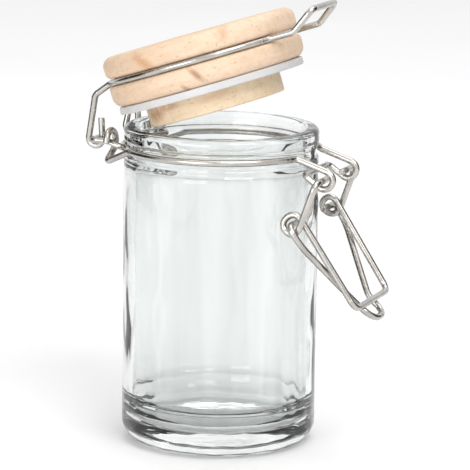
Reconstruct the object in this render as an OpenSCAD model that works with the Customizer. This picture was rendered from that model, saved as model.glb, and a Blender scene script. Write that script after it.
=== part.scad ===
// Bail clamp jar: a small glass jar with a turned wooden lid, held by bent steel wire.
// The jar's axis is Z and its base stands at Z = 0. The clamp is at the front (-Y),
// the hinge at the back (+Y). "Forward" distances are measured from the axis towards -Y.

/* [Jar] */
// Outer diameter of the glass body
body_d = 56; // [52:1:70]
// Height of the jar without its lid
jar_h = 91.5; // [75:0.5:150]
// Thickness of the side wall
wall_t = 2.6; // [2:0.1:3.2]
// Thickness of the glass at the middle of the base
base_t = 5; // [4:0.5:8]
// Height of the hollow under the base
pushup_h = 1.4; // [0.6:0.2:2.4]
// Radius of the rounded heel
heel_r = 5.5; // [4:0.5:7]
// Radius of the rounded corner inside the base
floor_r = 6; // [4:0.5:8]
// Diameter of the mouth
mouth_d = 48; // [44:1:49]
// Height of the rim bead
bead_h = 4.2; // [4:0.1:6]
// Depth of the wire groove under the bead
groove_depth = 0.9; // [0.6:0.1:1.2]

/* [Lid] */
// Angle at which the lid stands open
lid_open = 18; // [2:1:60]
// Thickness of the silicone gasket
gasket_t = 2.2; // [1.6:0.2:3]
// Thickness of the lower flange of the lid
flange_t = 6.4; // [5:0.2:8]
// Thickness of the upper disc of the lid
cap_t = 6.2; // [5:0.2:8]
// How far the lid stands out past the body of the jar
lid_overhang = 0.3; // [0:0.1:1.5]
// Diameter of the plug under the lid
plug_d = 39.5; // [34:0.5:41]
// How far the plug reaches below the gasket
plug_reach = 5.8; // [3:0.2:7]

/* [Wire] */
// Diameter of every wire
wire_d = 1.9; // [1.6:0.1:2.1]
// Radius of the small bends
bend_r = 2.2; // [2:0.1:2.6]
// Radius of the eyes and coils, at the middle of the wire
eye_r = 2.55; // [2.4:0.05:2.8]

/* [Clamp] */
// Half the distance between the two clamp eyes
eye_x = 9.9; // [9:0.1:11]
// How far the clamp eyes stand in front of the body
eye_reach = 6.9; // [6.5:0.1:8]
// How far the clamp eyes lie below the neck wire
eye_drop = 5.4; // [5:0.1:6.5]
// Distance from the eyes to the coils of the lever
lever_arm = 14; // [13:0.25:15.5]
// Half the distance between the coils
coil_x = 17; // [16.5:0.25:18.5]
// Length of the handle, from its coils to its bar
handle_l = 29.3; // [24:0.1:36]
// Angle of the handle from straight down
handle_angle = 34; // [26:1:44]
// Length of the loop, from the coils to its tip
loop_l = 34.4; // [33:0.1:42]

/* [Hinge] */
// Half the distance between the bars of the hinge yoke
yoke_x = 15.5; // [15:0.1:17]
// How far the hinge pins stand behind the body
hinge_reach = 5.6; // [5:0.1:7]
// How far the hinge pins lie below the rim
hinge_drop = 4.4; // [4:0.1:5]
// Half the distance between the hinge hooks of the lid wire
hook_x = 12.9; // [12.5:0.1:13.2]

/* [Hidden] */
$fn = 64;

wire_r = wire_d / 2;
wire_fn = 24;
sleeve_swell = 1.03;
sleeve_reach = 0.2;
join_gap = 0.05;
short_run = 0.6;
fit_gap = 0.05;
free_gap = 0.45;

// Jar
body_r = body_d / 2;
mouth_r = mouth_d / 2;
groove_r = body_r - groove_depth;
groove_h = wire_d + 2.1;
bead_z = jar_h - bead_h;
groove_z = bead_z - groove_h;
shoulder_h = 1.6;
rim_round = 1.6;
inner_r = body_r - wall_t;
foot_r = body_r - heel_r;
neck_inner_z = groove_z - 4;
arc_steps = 10;

// Wires round the neck
neck_z = bead_z - groove_h / 2;
neck_r = groove_r + wire_r + fit_gap;

// Clamp
eye_f = body_r + eye_reach;
eye_z = neck_z - eye_drop;
apron_f = body_r + wire_r + fit_gap;
apron_z = neck_z - 4.4;
lever_pin_end = 4.6;
coil_pitch = wire_d + 0.15;
loop_x = coil_x + coil_pitch;
loop_pin_end = 9;
coil_f = sqrt(pow(body_r, 2) - pow(loop_pin_end, 2)) + wire_r + free_gap;
coil_z = eye_z - sqrt(pow(lever_arm, 2) - pow(eye_f - coil_f, 2));
handle_x = coil_x - coil_pitch;
handle_bar_x = handle_x - 1.2;
loop_tip_x = 5.2;
loop_hook = 2;

// Lid, drawn closed and then swung open about the hinge pins
lid_r = body_r + lid_overhang;
flange_z = jar_h + gasket_t;
slot_h = wire_d + 0.2;
slot_z = flange_z + flange_t;
cap_z = slot_z + slot_h;
bail_z = slot_z + slot_h / 2;
slot_r = lid_r - 2.1;
bail_r = slot_r + wire_r + fit_gap;
gasket_r = body_r - 0.9;
plug_r = plug_d / 2;
gasket_hole_r = plug_r + fit_gap;
hinge_f = body_r + hinge_reach;
hinge_z = jar_h - hinge_drop;
nose_x = 10.6;
nose_top_x = 9.7;
nose_out = body_r + 4.8;
nose_tip = [nose_out + 6.8, bail_z + 4.7];
bail_leg_x = 14.2;
hook_tail = 6;

// ---------- Bent wire ----------

function unit(v) = v / norm(v);
// A point at x, a distance f forward of the axis, and a height z
function at(x, f, z) = [x, -f, z];
function turn(a, b) = acos(max(-1, min(1, a * b)));
function heading(angle) = [cos(angle), sin(angle)];

// A rigid frame with its columns x, y and z at the point p
function frame(x, y, z, p) = [[x.x, y.x, z.x, p.x], [x.y, y.y, z.y, p.y],
                              [x.z, y.z, z.z, p.z], [0, 0, 0, 1]];

module straight(p, q, r = wire_r) {
    dir = unit(q - p);
    side = unit(cross(abs(dir.x) < 0.9 ? [1, 0, 0] : [0, 1, 0], dir));
    multmatrix(frame(side, cross(dir, side), dir, p))
        cylinder(h = norm(q - p), r = r, $fn = wire_fn);
}

// The bend of radius r at the corner p, between the directions a and b
module bend(p, a, b, r) {
    inward = unit(b - (a * b) * a);
    start = p - a * r * tan(turn(a, b) / 2);
    multmatrix(frame(-inward, a, cross(-inward, a), start + inward * r))
        rotate_extrude(angle = turn(a, b))
            translate([r, 0]) circle(r = wire_r, $fn = wire_fn);
}

// A slightly proud sleeve from p to q and a little beyond, which joins two stretches
module sleeve(p, q, dir) {
    straight(p - sleeve_reach * dir, q + sleeve_reach * dir, wire_r * sleeve_swell);
}

// A wire along the points, with a bend radius for each inner point. Each of its two
// ends is either free or joined to an arc.
module wire(points, radii, joined = [false, false]) {
    last = len(points) - 1;
    dirs = [for (i = [0 : last - 1]) unit(points[i + 1] - points[i])];
    cut = [for (i = [0 : last]) i == 0 || i == last ? 0
          : radii[i - 1] * tan(turn(dirs[i - 1], dirs[i]) / 2)];
    for (i = [0 : last - 1]) {
        dir = dirs[i];
        from = points[i] + dir * cut[i];
        to = points[i + 1] - dir * cut[i + 1];
        held_from = i > 0 || joined[0];
        held_to = i < last - 1 || joined[1];
        if (norm(to - from) > short_run) {
            if (held_from) sleeve(from, from, dir);
            straight(from + (held_from ? join_gap : 0) * dir,
                     to - (held_to ? join_gap : 0) * dir);
            if (held_to) sleeve(to, to, dir);
        } else sleeve(from, to, dir);
        if (i < last - 1) bend(points[i + 1], dir, dirs[i + 1], radii[i]);
    }
}

// The same, for half a wire that is completed by its mirror image
module mirrored_wire(points, radii, joined = false) {
    last = len(points) - 1;
    wire(concat(points, [for (i = [last : -1 : 0]) [-points[i].x, points[i].y, points[i].z]]),
         concat(radii, [for (i = [len(radii) - 1 : -1 : 0]) radii[i]]),
         [joined, joined]);
}

// A wire arc round the Z axis, from one angle to the other (0 is +X)
module ring_arc(r, z, from, to) {
    translate([0, 0, z]) rotate([0, 0, from])
        rotate_extrude(angle = to - from)
            translate([r, 0]) circle(r = wire_r, $fn = wire_fn);
}

module both_sides() {
    children();
    mirror([1, 0, 0]) children();
}

// Corner points of a round bend in a plane of constant x. h0 and h1 are its first and
// last headings as seen from -X, and x drifts from x0 to x1.
function coil_points(f, z, r, h0, h1, x0, x1, n) =
    let (step = (h0 - h1) / n, side = 90 * sign(step))
    [for (i = [0 : n - 1])
        let (a = h0 + side - (i + 0.5) * step, c = r / cos(step / 2))
        at(x0 + (x1 - x0) * i / (n - 1), f + c * cos(a), z + c * sin(a))];

// ---------- Jar ----------

function arc(cx, cy, r, from, to) =
    [for (i = [0 : arc_steps])
        let (a = from + (to - from) * i / arc_steps)
        [cx + r * cos(a), cy + r * sin(a)]];

module jar() {
    foot_in = foot_r - 3;
    push_r = (pow(foot_in, 2) + pow(pushup_h, 2)) / (2 * pushup_h);
    floor_z = base_t + pushup_h;
    outer = concat(
        [for (i = [0 : arc_steps])
            let (x = foot_in * i / arc_steps)
            [x, pushup_h - push_r + sqrt(pow(push_r, 2) - pow(x, 2))]],
        arc(foot_r, heel_r, heel_r, -90, 0),
        [[body_r, groove_z - shoulder_h]],
        arc(groove_r + 0.1, groove_z - 0.9, 0.8, 0, 90),
        [[groove_r, groove_z], [groove_r, bead_z - 0.4]],
        arc(body_r - 0.8, bead_z + 0.8, 0.8, -90, 0),
        arc(body_r - rim_round, jar_h - rim_round, rim_round, 0, 90));
    inner = concat(
        arc(mouth_r + 1, jar_h - 1, 1, 90, 180),
        [[mouth_r, groove_z], [inner_r, neck_inner_z]],
        arc(inner_r - floor_r, floor_z + floor_r, floor_r, 0, -90),
        [[0, floor_z]]);
    color("lightcyan", 0.4)
        rotate_extrude($fn = 96) polygon(concat(outer, inner));
}

// ---------- Wires on the neck ----------

// The front wire: it lies in the groove, makes the two clamp eyes and a crossbar
// between them, and its ends are curled round the bars of the hinge yoke.
module neck_ring() {
    arm_start_x = eye_x + 2.4;
    arm_angle = asin(arm_start_x / neck_r);
    arm_start = at(-arm_start_x, neck_r * cos(arm_angle), neck_z);
    arm_dir = at(cos(arm_angle), sin(arm_angle), 0);
    arm_corner = arm_start + arm_dir * (arm_start_x - eye_x) / cos(arm_angle);
    apron = at(-eye_x, apron_f, apron_z);
    reach = [apron_f - eye_f, apron_z - eye_z];
    to_eye = atan2(-reach.y, -reach.x);
    arm_flat = [-arm_corner.y, arm_corner.z] - [eye_f, eye_z];
    h_in = atan2(-arm_flat.y, -arm_flat.x) + asin(eye_r / norm(arm_flat));
    h_out = to_eye - asin(eye_r / norm(reach)) - 180;
    eye = coil_points(eye_f, eye_z, eye_r, h_in, h_out, -eye_x, -eye_x, 2);

    back_x = yoke_x + 4.2;
    back_angle = asin(back_x / neck_r);
    back_start = at(-back_x, -neck_r * cos(back_angle), neck_z);
    ring_f = -(body_r - 0.3);
    ring_r = eye_r + 0.6;
    ring = [for (a = [240, 0, 120])
        at(-yoke_x + 2 * ring_r * cos(a), ring_f, hinge_z + 2 * ring_r * sin(a))];

    color("silver") {
        both_sides() {
            ring_arc(neck_r, neck_z, 90 + back_angle, 270 - arm_angle);
            wire(concat([back_start], ring, [at(-yoke_x - ring_r, ring_f, hinge_z)]),
                 [1.4, ring_r * 0.96, ring_r * 0.96], [true, false]);
        }
        mirrored_wire(concat([arm_start, arm_corner], eye, [apron]),
                      [1.6, eye_r * 0.96, eye_r * 0.96, 1.4], true);
    }
}

// The rear wire: an arc behind the neck, two bars running back, and the hinge pins.
module hinge_yoke() {
    arc_x = yoke_x - 2.6;
    arc_angle = asin(arc_x / neck_r);
    arc_end = at(-arc_x, -neck_r * cos(arc_angle), neck_z);
    corner = arc_end + at(-cos(arc_angle), sin(arc_angle), 0) * (yoke_x - arc_x) / cos(arc_angle);
    color("silver") {
        ring_arc(neck_r, neck_z, 90 - arc_angle, 90 + arc_angle);
        both_sides()
            wire([arc_end, corner, at(-yoke_x, -(body_r + 0.8), hinge_z),
                  at(-yoke_x, -hinge_f, hinge_z), at(-(hook_x - wire_r - 0.9), -hinge_f, hinge_z)],
                 [1.3, 2.4, 1.3], [true, false]);
    }
}

// ---------- Lid ----------

module opened() {
    translate(at(0, -hinge_f, hinge_z)) rotate([-lid_open, 0, 0])
        translate(-at(0, -hinge_f, hinge_z)) children();
}

module lid_cap() {
    edge = 3;
    outline = concat(
        [[0, flange_z]],
        arc(lid_r - edge, flange_z + edge, edge, -90, 0),
        arc(lid_r - 1.2, slot_z - 1.2, 1.2, 0, 90),
        [[slot_r, slot_z], [slot_r, cap_z]],
        arc(lid_r - 1.6, cap_z + 1.6, 1.6, -90, 0),
        arc(lid_r - edge, cap_z + cap_t - edge, edge, 0, 90),
        [[0, cap_z + cap_t]]);
    color("burlywood") opened() rotate_extrude($fn = 96) polygon(outline);
}

module gasket() {
    color("whitesmoke", 0.8) opened() rotate_extrude($fn = 96)
        translate([gasket_hole_r, jar_h]) square([gasket_r - gasket_hole_r, gasket_t]);
}

module lid_plug() {
    top = flange_z;
    bottom = jar_h - plug_reach;
    chamfer = 0.5;
    outline = [[0, bottom], [plug_r - chamfer, bottom], [plug_r, bottom + chamfer],
               [plug_r, top], [0, top]];
    color("wheat") opened() rotate_extrude($fn = 96) polygon(outline);
}

// The lid's wire: half rings in the groove, a raised nose in front, and hooks that
// curl under the hinge pins.
module lid_bail() {
    nose_start_x = nose_x + 2.6;
    nose_angle = asin(nose_start_x / bail_r);
    nose_start = at(-nose_start_x, bail_r * cos(nose_angle), bail_z);
    nose_corner = nose_start
        + at(cos(nose_angle), sin(nose_angle), 0) * (nose_start_x - nose_x) / cos(nose_angle);
    leg_angle = asin((bail_leg_x + 2.4) / bail_r);
    leg_start = at(-(bail_leg_x + 2.4), -bail_r * cos(leg_angle), bail_z);
    leg_corner = leg_start
        + at(cos(leg_angle), -sin(leg_angle), 0) * 2.4 / cos(leg_angle);
    hook_r = wire_d + 0.15;
    elbow = [-(body_r + 1.3), bail_z - 2];
    to_pin = [-hinge_f, hinge_z] - elbow;
    h_in = atan2(to_pin.y, to_pin.x) - asin(hook_r / norm(to_pin));
    h_out = 75;
    hook = coil_points(-hinge_f, hinge_z, hook_r, h_in, h_out, -hook_x, -hook_x, 2);
    tail = [-hinge_f, hinge_z] + hook_r * heading(h_out - 90) + hook_tail * heading(h_out);
    color("silver") opened() {
        both_sides() {
            ring_arc(bail_r, bail_z, 90 + leg_angle, 270 - nose_angle);
            wire(concat([leg_start, leg_corner,
                         at(-bail_leg_x, elbow.x, elbow.y)],
                        hook, [at(-hook_x, tail.x, tail.y)]),
                 [1.5, 2.4, hook_r * 0.96, hook_r * 0.96], [true, false]);
        }
        mirrored_wire([nose_start, nose_corner, at(-nose_x, nose_out, bail_z),
                       at(-nose_top_x, nose_tip.x, nose_tip.y)],
                      [1.5, 2.4, 2], true);
    }
}

// ---------- Clamp ----------

// The lever: pins that turn in the eyes, legs, one coil on each side, and the handle.
module clamp_lever() {
    to_coil = [coil_f - eye_f, coil_z - eye_z];
    h_in = atan2(to_coil.y, to_coil.x) + 360 + asin(eye_r / norm(to_coil));
    h_out = handle_angle - 90;
    coil = coil_points(coil_f, coil_z, eye_r, h_in, h_out, -coil_x, -handle_x, 3);
    leave = [coil_f, coil_z] + eye_r * heading(h_out + 90);
    bar = leave + handle_l * heading(h_out);
    color("silver")
        mirrored_wire(concat([at(-lever_pin_end, eye_f, eye_z), at(-coil_x, eye_f, eye_z)], coil,
                             [at(-handle_bar_x, bar.x, bar.y)]),
                      concat([bend_r], [for (p = coil) eye_r * 0.96], [2.6]));
}

// The loop: pins that turn in the coils, bowed legs, and a narrow hooked tip.
module clamp_loop() {
    down = heading(handle_angle - 90);
    out = heading(handle_angle);
    // Places along the loop: side, distance from the coils, height towards the front
    knee = [loop_x - 0.5, 6.5, 0];
    throat = [loop_tip_x, loop_l - 6.4, 0];
    tip = [loop_tip_x - 0.7, loop_l, loop_hook];
    corners = [for (p = [knee, throat, tip])
        let (flat = [coil_f, coil_z] + p.y * down + p.z * out)
        at(-p.x, flat.x, flat.y)];
    color("silver")
        mirrored_wire(concat([at(-loop_pin_end, coil_f, coil_z), at(-loop_x, coil_f, coil_z)],
                             corners),
                      [bend_r, 14, 9, 4]);
}

jar();
neck_ring();
hinge_yoke();
lid_cap();
gasket();
lid_plug();
lid_bail();
clamp_lever();
clamp_loop();
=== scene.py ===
import math

import bmesh
import bpy
from mathutils import Matrix, Vector


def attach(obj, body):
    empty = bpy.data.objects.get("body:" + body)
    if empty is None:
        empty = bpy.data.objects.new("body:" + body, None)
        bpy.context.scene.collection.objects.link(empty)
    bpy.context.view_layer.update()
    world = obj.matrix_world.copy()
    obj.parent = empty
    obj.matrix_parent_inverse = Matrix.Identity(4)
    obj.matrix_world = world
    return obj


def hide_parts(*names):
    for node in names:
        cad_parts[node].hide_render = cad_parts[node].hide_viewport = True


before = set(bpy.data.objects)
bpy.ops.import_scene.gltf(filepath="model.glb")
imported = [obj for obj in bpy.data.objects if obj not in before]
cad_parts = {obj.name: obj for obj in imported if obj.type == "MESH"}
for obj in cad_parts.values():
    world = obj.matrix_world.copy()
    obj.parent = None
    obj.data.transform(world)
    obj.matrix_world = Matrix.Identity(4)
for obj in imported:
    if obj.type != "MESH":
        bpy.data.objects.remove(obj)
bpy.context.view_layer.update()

MM = 0.001


# ---------- Node helpers ----------

def material(name):
    mat = bpy.data.materials.new(name)
    mat.use_nodes = True
    nt = mat.node_tree
    nt.nodes.clear()
    out = nt.nodes.new("ShaderNodeOutputMaterial")
    bsdf = nt.nodes.new("ShaderNodeBsdfPrincipled")
    nt.links.new(bsdf.outputs[0], out.inputs[0])
    return mat, nt, bsdf


def node(nt, kind, **values):
    """A new node with these properties."""
    n = nt.nodes.new(kind)
    for key, value in values.items():
        setattr(n, key, value)
    return n


def noise(nt, vec, scale, detail=4.0, rough=0.5):
    n = node(nt, "ShaderNodeTexNoise")
    n.inputs["Scale"].default_value = scale
    n.inputs["Detail"].default_value = detail
    n.inputs["Roughness"].default_value = rough
    nt.links.new(vec, n.inputs["Vector"])
    return n.outputs[0]


def mapped(nt, vec, loc=(0, 0, 0), rot=(0, 0, 0), scale=(1, 1, 1)):
    n = node(nt, "ShaderNodeMapping")
    n.inputs["Location"].default_value = loc
    n.inputs["Rotation"].default_value = rot
    n.inputs["Scale"].default_value = scale
    nt.links.new(vec, n.inputs["Vector"])
    return n.outputs[0]


def ranged(nt, val, a, b, c=0.0, d=1.0):
    """val from a to b as a number from c to d."""
    n = node(nt, "ShaderNodeMapRange")
    for k, v in zip((1, 2, 3, 4), (a, b, c, d)):
        n.inputs[k].default_value = v
    nt.links.new(val, n.inputs[0])
    return n.outputs[0]


def times(nt, a, b):
    n = node(nt, "ShaderNodeMath", operation="MULTIPLY")
    nt.links.new(a, n.inputs[0])
    if isinstance(b, float):
        n.inputs[1].default_value = b
    else:
        nt.links.new(b, n.inputs[1])
    return n.outputs[0]


def mix(nt, fac, a, b):
    n = node(nt, "ShaderNodeMix", data_type="RGBA")
    nt.links.new(fac, n.inputs[0])
    for value, socket in ((a, n.inputs[6]), (b, n.inputs[7])):
        if isinstance(value, tuple):
            socket.default_value = (*value, 1)
        else:
            nt.links.new(value, socket)
    return n.outputs[2]


def bump(nt, bsdf, height, strength, distance):
    n = node(nt, "ShaderNodeBump")
    n.inputs["Strength"].default_value = strength
    n.inputs["Distance"].default_value = distance
    nt.links.new(height, n.inputs["Height"])
    nt.links.new(n.outputs[0], bsdf.inputs["Normal"])


def coords(nt):
    return node(nt, "ShaderNodeTexCoord").outputs["Object"]


# ---------- Materials ----------

def glass():
    mat, nt, bsdf = material("clear_glass")
    bsdf.inputs["Transmission Weight"].default_value = 1.0
    bsdf.inputs["IOR"].default_value = 1.5
    bsdf.inputs["Roughness"].default_value = 0.0
    vec = coords(nt)
    # Glass colour: a slight green tint of its own, crossed by vertical grey bands that are
    # painted reflection of dark surroundings.
    painted_reflection_bands = ranged(nt, noise(nt, mapped(nt, vec, scale=(1, 1, 0.03)), 75, 2), 0.40, 0.56)
    nt.links.new(mix(nt, painted_reflection_bands, (0.80, 0.825, 0.82), (0.965, 0.98, 0.975)),
                 bsdf.inputs["Base Color"])
    wave = noise(nt, mapped(nt, vec, scale=(1, 1, 0.35)), 110, 1)
    bump(nt, bsdf, wave, 0.5, 0.0014)
    return mat


def steel():
    mat, nt, bsdf = material("bright_steel")
    vec = coords(nt)
    bsdf.inputs["Metallic"].default_value = 1.0
    cloud = ranged(nt, noise(nt, vec, 160, 5), 0.3, 0.7)
    fine = noise(nt, mapped(nt, vec, scale=(1, 1, 0.15)), 3800, 2)
    nt.links.new(mix(nt, cloud, (0.42, 0.40, 0.375), (0.56, 0.54, 0.51)),
                 bsdf.inputs["Base Color"])
    nt.links.new(ranged(nt, noise(nt, vec, 700, 4), 0.3, 0.7, 0.15, 0.30),
                 bsdf.inputs["Roughness"])
    bump(nt, bsdf, fine, 0.08, 0.00006)
    return mat


def blob(nt, vec, centre, size, turn):
    """A soft ragged patch of the wood, 1 in the middle and 0 outside."""
    here = mapped(nt, vec, loc=tuple(-c for c in centre))
    here = mapped(nt, here, rot=turn)
    here = mapped(nt, here, scale=tuple(1 / s for s in size))
    length = node(nt, "ShaderNodeVectorMath", operation="LENGTH")
    nt.links.new(here, length.inputs[0])
    core = ranged(nt, length.outputs["Value"], 0.25, 1.0, 1.0, 0.0)
    return times(nt, core, ranged(nt, noise(nt, vec, 520, 4, 0.65), 0.30, 0.50))


def wood(name, light, dark, marks):
    mat, nt, bsdf = material(name)
    vec = coords(nt)
    grain = noise(nt, mapped(nt, vec, scale=(1, 0.10, 1)), 620, 6, 0.6)
    broad = noise(nt, mapped(nt, vec, scale=(1, 0.3, 1)), 95, 3)
    color = mix(nt, ranged(nt, broad, 0.32, 0.68), light, dark)
    color = mix(nt, times(nt, ranged(nt, grain, 0.42, 0.72), 0.35), color,
                (0.60, 0.40, 0.26))
    pores = ranged(nt, noise(nt, mapped(nt, vec, scale=(1, 0.5, 1)), 1500, 2), 0.62, 0.72)
    color = mix(nt, times(nt, pores, 0.42), color, (0.42, 0.25, 0.16))
    for centre, size, turn, tone, depth in marks:
        patch = blob(nt, vec, centre, size, turn)
        color = mix(nt, times(nt, patch, depth), color, tone)
    nt.links.new(color, bsdf.inputs["Base Color"])
    nt.links.new(ranged(nt, grain, 0.3, 0.7, 0.5, 0.72), bsdf.inputs["Roughness"])
    bsdf.inputs["Specular IOR Level"].default_value = 0.3
    bump(nt, bsdf, grain, 0.22, 0.00018)
    return mat


def silicone():
    mat, nt, bsdf = material("soft_silicone")
    vec = coords(nt)
    cloud = ranged(nt, noise(nt, vec, 120, 4), 0.3, 0.7)
    nt.links.new(mix(nt, cloud, (0.80, 0.795, 0.80), (0.87, 0.865, 0.86)),
                 bsdf.inputs["Base Color"])
    bsdf.inputs["Transmission Weight"].default_value = 0.25
    bsdf.inputs["IOR"].default_value = 1.41
    nt.links.new(ranged(nt, noise(nt, vec, 900, 3), 0.3, 0.7, 0.35, 0.5),
                 bsdf.inputs["Roughness"])
    bsdf.inputs["Subsurface Weight"].default_value = 0.25
    bsdf.inputs["Subsurface Scale"].default_value = 0.001
    bump(nt, bsdf, noise(nt, vec, 1200, 2), 0.05, 0.00005)
    return mat


# ---------- Shapes ----------

def arc(cx, cy, r, start, end, steps=12):
    return [(cx + r * math.cos(math.radians(start + (end - start) * i / steps)),
             cy + r * math.sin(math.radians(start + (end - start) * i / steps)))
            for i in range(steps + 1)]


def lathe(name, profile, mat, segments=256, wobble=None, closed=False):
    """A turned piece from (radius, height) pairs in millimetres."""
    bm = bmesh.new()
    rows = []
    for k, (r, z) in enumerate(profile):
        if r < 1e-6:
            rows.append([bm.verts.new((0, 0, z * MM))])
            continue
        row = []
        for i in range(segments):
            a = 2 * math.pi * i / segments
            dr = wobble(k, a, r, z) if wobble else 0.0
            row.append(bm.verts.new(((r + dr) * math.cos(a) * MM,
                                     (r + dr) * math.sin(a) * MM, z * MM)))
        rows.append(row)
    pairs = list(zip(rows, rows[1:])) + ([(rows[-1], rows[0])] if closed else [])
    for a, b in pairs:
        for i in range(segments):
            j = (i + 1) % segments
            if len(a) == 1:
                bm.faces.new((a[0], b[i], b[j]))
            elif len(b) == 1:
                bm.faces.new((a[i], b[0], a[j]))
            else:
                bm.faces.new((a[i], b[i], b[j], a[j]))
    bmesh.ops.recalc_face_normals(bm, faces=bm.faces)
    mesh = bpy.data.meshes.new(name)
    bm.to_mesh(mesh)
    bm.free()
    mesh.polygons.foreach_set("use_smooth", [True] * len(mesh.polygons))
    mesh.materials.append(mat)
    obj = bpy.data.objects.new(name, mesh)
    bpy.context.scene.collection.objects.link(obj)
    return obj


def hang(obj, body, cad_node):
    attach(obj, body)
    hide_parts(cad_node)


def refined(cad_node, body, mat):
    """A smooth copy of a wire, without the seams of its stretches."""
    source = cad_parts[cad_node]
    obj = bpy.data.objects.new(cad_node + "_wire", source.data.copy())
    obj.matrix_world = source.matrix_world.copy()
    bpy.context.scene.collection.objects.link(obj)
    obj.data.materials.clear()
    obj.data.materials.append(mat)
    remesh = obj.modifiers.new("remesh", "REMESH")
    remesh.mode = "VOXEL"
    remesh.voxel_size = 0.16 * MM
    remesh.use_smooth_shade = True
    smooth = obj.modifiers.new("smooth", "SMOOTH")
    smooth.factor = 0.5
    smooth.iterations = 6
    hang(obj, body, cad_node)
    return obj


# ---------- The jar, in millimetres ----------

BODY, MOUTH, HEIGHT, WALL = 28.0, 24.0, 91.5, 2.6
BEAD_Z, GROOVE_Z, GROOVE_R = 87.3, 83.3, 27.1
INNER = BODY - WALL
PUSH, FOOT = 1.4, 19.5
push_r = (FOOT ** 2 + PUSH ** 2) / (2 * PUSH)
outer = [(FOOT * i / 16, PUSH - push_r + math.sqrt(push_r ** 2 - (FOOT * i / 16) ** 2))
         for i in range(17)]
outer += arc(22.5, 5.5, 5.5, -90, 0, 16)
outer += [(BODY, 5.5 + (81.4 - 5.5) * i / 24) for i in range(1, 25)]
outer += arc(GROOVE_R + 0.1, GROOVE_Z - 0.9, 0.8, 0, 90, 8)
outer += [(GROOVE_R, GROOVE_Z), (GROOVE_R, BEAD_Z - 0.3)]
outer += arc(BODY - 0.8, BEAD_Z + 0.8, 0.8, -90, 0, 8)
outer += arc(BODY - 1.6, HEIGHT - 1.6, 1.6, 0, 90, 10)
inner = arc(MOUTH + 1, HEIGHT - 1, 1, 90, 180, 8)
inner += [(MOUTH, 88.0), (MOUTH, 84.6)]
inner += [(MOUTH + (INNER - MOUTH) * (0.5 - 0.5 * math.cos(math.pi * i / 10)),
           84.6 - 5.6 * i / 10) for i in range(1, 11)]
inner += [(INNER, 79.0 + (12.4 - 79.0) * i / 24) for i in range(1, 25)]
inner += arc(INNER - 6, 12.4, 6, 0, -90, 16)
inner += [(19.4 * (1 - i / 10), 6.4) for i in range(1, 11)]


def jar_wobble(k, a, r, z):
    if k < len(outer):
        return 0.0
    if z < 12 or z > 80:
        return 0.0
    fade = min(1.0, (z - 12) / 12, (80 - z) / 8)
    return fade * (0.10 * math.sin(3 * a + 0.02 * z) + 0.06 * math.sin(7 * a + 0.05 * z + 1)
                   + 0.03 * math.sin(13 * a - 0.04 * z + 2))


jar = lathe("jar_glass", outer + inner, glass(), 288, jar_wobble)
hang(jar, "jar_body", "jar")

# ---------- The lid, drawn closed and swung open about the hinge ----------

HINGE = Vector((0, 33.6, 87.1)) * MM
LID_OPEN = 18
OPEN = (Matrix.Translation(HINGE) @ Matrix.Rotation(math.radians(-LID_OPEN), 4, "X")
        @ Matrix.Translation(-HINGE))
LID, FLANGE_Z, SLOT_Z, CAP_Z, TOP = 28.3, 93.7, 100.1, 102.2, 108.4
SLOT = LID - 2.1

ORANGE, BROWN, RED = (0.60, 0.30, 0.14), (0.36, 0.18, 0.10), (0.50, 0.20, 0.10)
lid_marks = [
    ((-0.026, 0.006, 0.1045), (0.006, 0.0022, 0.0055), (math.radians(48), 0, 0), ORANGE, 0.75),
    ((-0.022, -0.017, 0.1065), (0.006, 0.0018, 0.0032), (0, 0, 0), ORANGE, 0.55),
    ((-0.026, -0.008, 0.0975), (0.006, 0.0013, 0.0042), (math.radians(35), 0, 0), BROWN, 0.8),
    ((-0.026, -0.004, 0.0945), (0.006, 0.0010, 0.0020), (math.radians(35), 0, 0), BROWN, 0.6),
    ((0.024, 0.010, 0.1050), (0.006, 0.003, 0.005), (math.radians(-40), 0, 0), ORANGE, 0.6),
    ((0.010, -0.026, 0.0965), (0.004, 0.006, 0.003), (0, 0, 0), ORANGE, 0.45),
    ((0.004, 0.008, 0.1084), (0.007, 0.020, 0.002), (0, 0, math.radians(20)), ORANGE, 0.5),
]
cap_wood = wood("pale_wood", (0.86, 0.67, 0.505), (0.78, 0.575, 0.41), lid_marks)
plug_marks = [
    ((-0.015, 0.012, 0.0892), (0.006, 0.0055, 0.0030), (0, 0, 0), RED, 0.75),
    ((-0.017, 0.006, 0.0905), (0.006, 0.0045, 0.0014), (0, 0, 0), RED, 0.6),
    ((-0.017, -0.008, 0.090), (0.006, 0.009, 0.0016), (0, 0, 0), ORANGE, 0.3),
]
plug_wood = wood("yellow_wood", (0.93, 0.77, 0.55), (0.88, 0.68, 0.46), plug_marks)


def wood_wobble(k, a, r, z):
    return -0.06 * (1 + math.sin(5 * a + 0.3 * z)) * 0.5 - 0.03 * (1 + math.sin(17 * a + 0.9 * z))


cap_profile = [(0, FLANGE_Z)] + [(r, FLANGE_Z) for r in (8, 16, 22)]
cap_profile += arc(LID - 3, FLANGE_Z + 3, 3, -90, 0)
cap_profile += arc(LID - 1.2, SLOT_Z - 1.2, 1.2, 0, 90)
cap_profile += [(SLOT, SLOT_Z), (SLOT, SLOT_Z + 0.05), (SLOT, CAP_Z - 0.05), (SLOT, CAP_Z)]
cap_profile += arc(LID - 1.6, CAP_Z + 1.6, 1.6, -90, 0)
cap_profile += arc(LID - 3, TOP - 3, 3, 0, 90)
cap_profile += [(r, TOP) for r in (22, 16, 8, 0)]
cap = lathe("lid_wood", cap_profile, cap_wood, 256, wood_wobble)

seal_profile = []
for x, z, start in ((27.1 - 0.4, 93.7 - 0.4, 0), (19.8 + 0.4, 93.7 - 0.4, 90),
                    (19.8 + 0.4, 91.5 + 0.4, 180), (27.1 - 0.4, 91.5 + 0.4, 270)):
    seal_profile += arc(x, z, 0.4, start, start + 90, 4)
seal = lathe("lid_seal", seal_profile, silicone(), 256, None, True)

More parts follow.
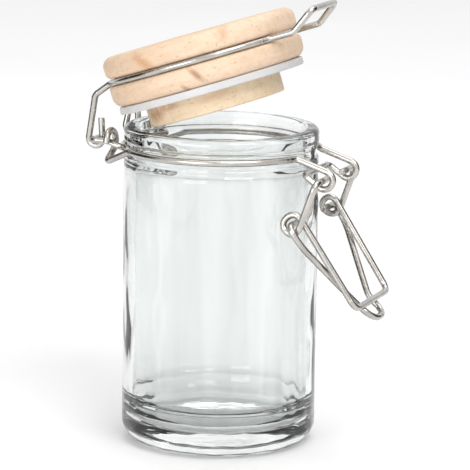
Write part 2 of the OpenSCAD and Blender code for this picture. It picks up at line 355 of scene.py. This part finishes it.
PLUG, BOTTOM = 19.75, 85.7
plug_profile = [(r, BOTTOM) for r in (0, 7, 14)]
plug_profile += arc(PLUG - 0.5, BOTTOM + 0.5, 0.5, -90, 0, 6)
plug_profile += [(PLUG, BOTTOM + 2), (PLUG, 92), (PLUG, FLANGE_Z), (12, FLANGE_Z), (0, FLANGE_Z)]
plug = lathe("plug_wood_piece", plug_profile, plug_wood, 224)

for obj, cad_node, slot in ((cap, "lid_cap", "lid_wood"), (seal, "gasket", "silicone"),
                            (plug, "lid_plug", "plug_wood")):
    obj.matrix_world = OPEN
    bpy.context.view_layer.update()
    hang(obj, "lid", cad_node)

# ---------- The wires ----------

bright = steel()
for cad_node, body in (("neck_ring", "jar_body"), ("hinge_yoke", "jar_body"),
                       ("lid_bail", "lid"), ("clamp_lever", "lever"), ("clamp_loop", "loop")):
    refined(cad_node, body, bright)


# ---------- Stage ----------

def plane(name, size, matrix, mat):
    bm = bmesh.new()
    bmesh.ops.create_grid(bm, x_segments=1, y_segments=1, size=size / 2)
    mesh = bpy.data.meshes.new(name)
    bm.to_mesh(mesh)
    bm.free()
    mesh.materials.append(mat)
    obj = bpy.data.objects.new(name, mesh)
    bpy.context.scene.collection.objects.link(obj)
    obj.matrix_world = matrix
    return obj


def seen_directly(nt):
    """1 for the rays that show the background: to the camera, in metal and through glass."""
    path = nt.nodes.new("ShaderNodeLightPath")
    largest = path.outputs["Is Camera Ray"]
    for key in ("Is Glossy Ray", "Is Transmission Ray"):
        larger = node(nt, "ShaderNodeMath", operation="MAXIMUM")
        nt.links.new(largest, larger.inputs[0])
        nt.links.new(path.outputs[key], larger.inputs[1])
        largest = larger.outputs[0]
    return largest


def floor_material():
    mat, nt, bsdf = material("pale_floor")
    vec = coords(nt)
    nt.links.new(mix(nt, ranged(nt, noise(nt, vec, 8, 3), 0.3, 0.7),
                     (0.93, 0.93, 0.93), (0.95, 0.95, 0.95)), bsdf.inputs["Base Color"])
    bsdf.inputs["Roughness"].default_value = 0.9
    bsdf.inputs["Specular IOR Level"].default_value = 0.0
    bsdf.inputs["Emission Color"].default_value = (1, 1, 1, 1)
    nt.links.new(times(nt, seen_directly(nt), 0.10), bsdf.inputs["Emission Strength"])
    return mat


def card_material(name, shade):
    mat, nt, bsdf = material(name)
    bsdf.inputs["Base Color"].default_value = (shade, shade, shade * 1.02, 1)
    bsdf.inputs["Roughness"].default_value = 1.0
    bsdf.inputs["Specular IOR Level"].default_value = 0.0
    return mat


plane("floor", 6.0, Matrix.Translation((0, 0, -0.0002)), floor_material())

FORWARD = Vector((0.91170, 0.35896, -0.19987)).normalized()
SIDE = FORWARD.cross(Vector((0, 0, 1))).normalized()
AHEAD = Vector((FORWARD.x, FORWARD.y, 0)).normalized()
dark = card_material("dark_card", 0.05)
for name, side in (("card_left", -1), ("card_right", 1)):
    place = SIDE * side * 0.36 + AHEAD * 0.10 + Vector((0, 0, 0.20))
    facing = (-SIDE * side).to_track_quat("Z", "Y").to_matrix().to_4x4()
    card = plane(name, 0.38, Matrix.Translation(place) @ facing, dark)
    card.visible_camera = False

def backdrop(nt, strength):
    n = node(nt, "ShaderNodeBackground")
    n.inputs[0].default_value = (1, 1, 1, 1)
    n.inputs[1].default_value = strength
    return n


world = bpy.data.worlds.new("studio")
bpy.context.scene.world = world
world.use_nodes = True
wt = world.node_tree
wt.nodes.clear()
out = node(wt, "ShaderNodeOutputWorld")
soft = backdrop(wt, 0.62)
white = backdrop(wt, 1.0)
blend = node(wt, "ShaderNodeMixShader")
wt.links.new(seen_directly(wt), blend.inputs[0])
wt.links.new(soft.outputs[0], blend.inputs[1])
wt.links.new(white.outputs[0], blend.inputs[2])
wt.links.new(blend.outputs[0], out.inputs[0])


def area(name, place, size, power):
    light = bpy.data.lights.new(name, "AREA")
    light.shape = "SQUARE"
    light.size = size
    light.energy = power
    obj = bpy.data.objects.new(name, light)
    bpy.context.scene.collection.objects.link(obj)
    obj.location = place
    aim = Vector((0, 0, 0.05)) - Vector(place)
    obj.rotation_euler = aim.to_track_quat("-Z", "Y").to_euler()


area("key", (-0.7, -0.8, 1.2), 0.8, 9.0)
area("fill", (-1.1, 0.2, 0.25), 0.6, 4.5)
area("top", (0.2, 0.0, 1.5), 1.0, 7.0)

# ---------- Camera ----------

CAMERA_AT = Vector((-0.75178, -0.30051, 0.22468))
CAMERA_ROLL = 0.807
CAMERA_LENS = 219.93

up = SIDE.cross(FORWARD)
roll = math.radians(CAMERA_ROLL)
right = math.cos(roll) * SIDE + math.sin(roll) * up
top = -math.sin(roll) * SIDE + math.cos(roll) * up
back = -FORWARD
camera_data = bpy.data.cameras.new("camera")
camera_data.lens = CAMERA_LENS
camera_data.sensor_width = 36.0
camera_data.clip_start = 0.01
camera_data.clip_end = 50
camera = bpy.data.objects.new("camera", camera_data)
bpy.context.scene.collection.objects.link(camera)
camera.matrix_world = Matrix((
    (right.x, top.x, back.x, CAMERA_AT.x),
    (right.y, top.y, back.y, CAMERA_AT.y),
    (right.z, top.z, back.z, CAMERA_AT.z),
    (0, 0, 0, 1)))
bpy.context.scene.camera = camera
bpy.context.scene.view_settings.view_transform = "Standard"
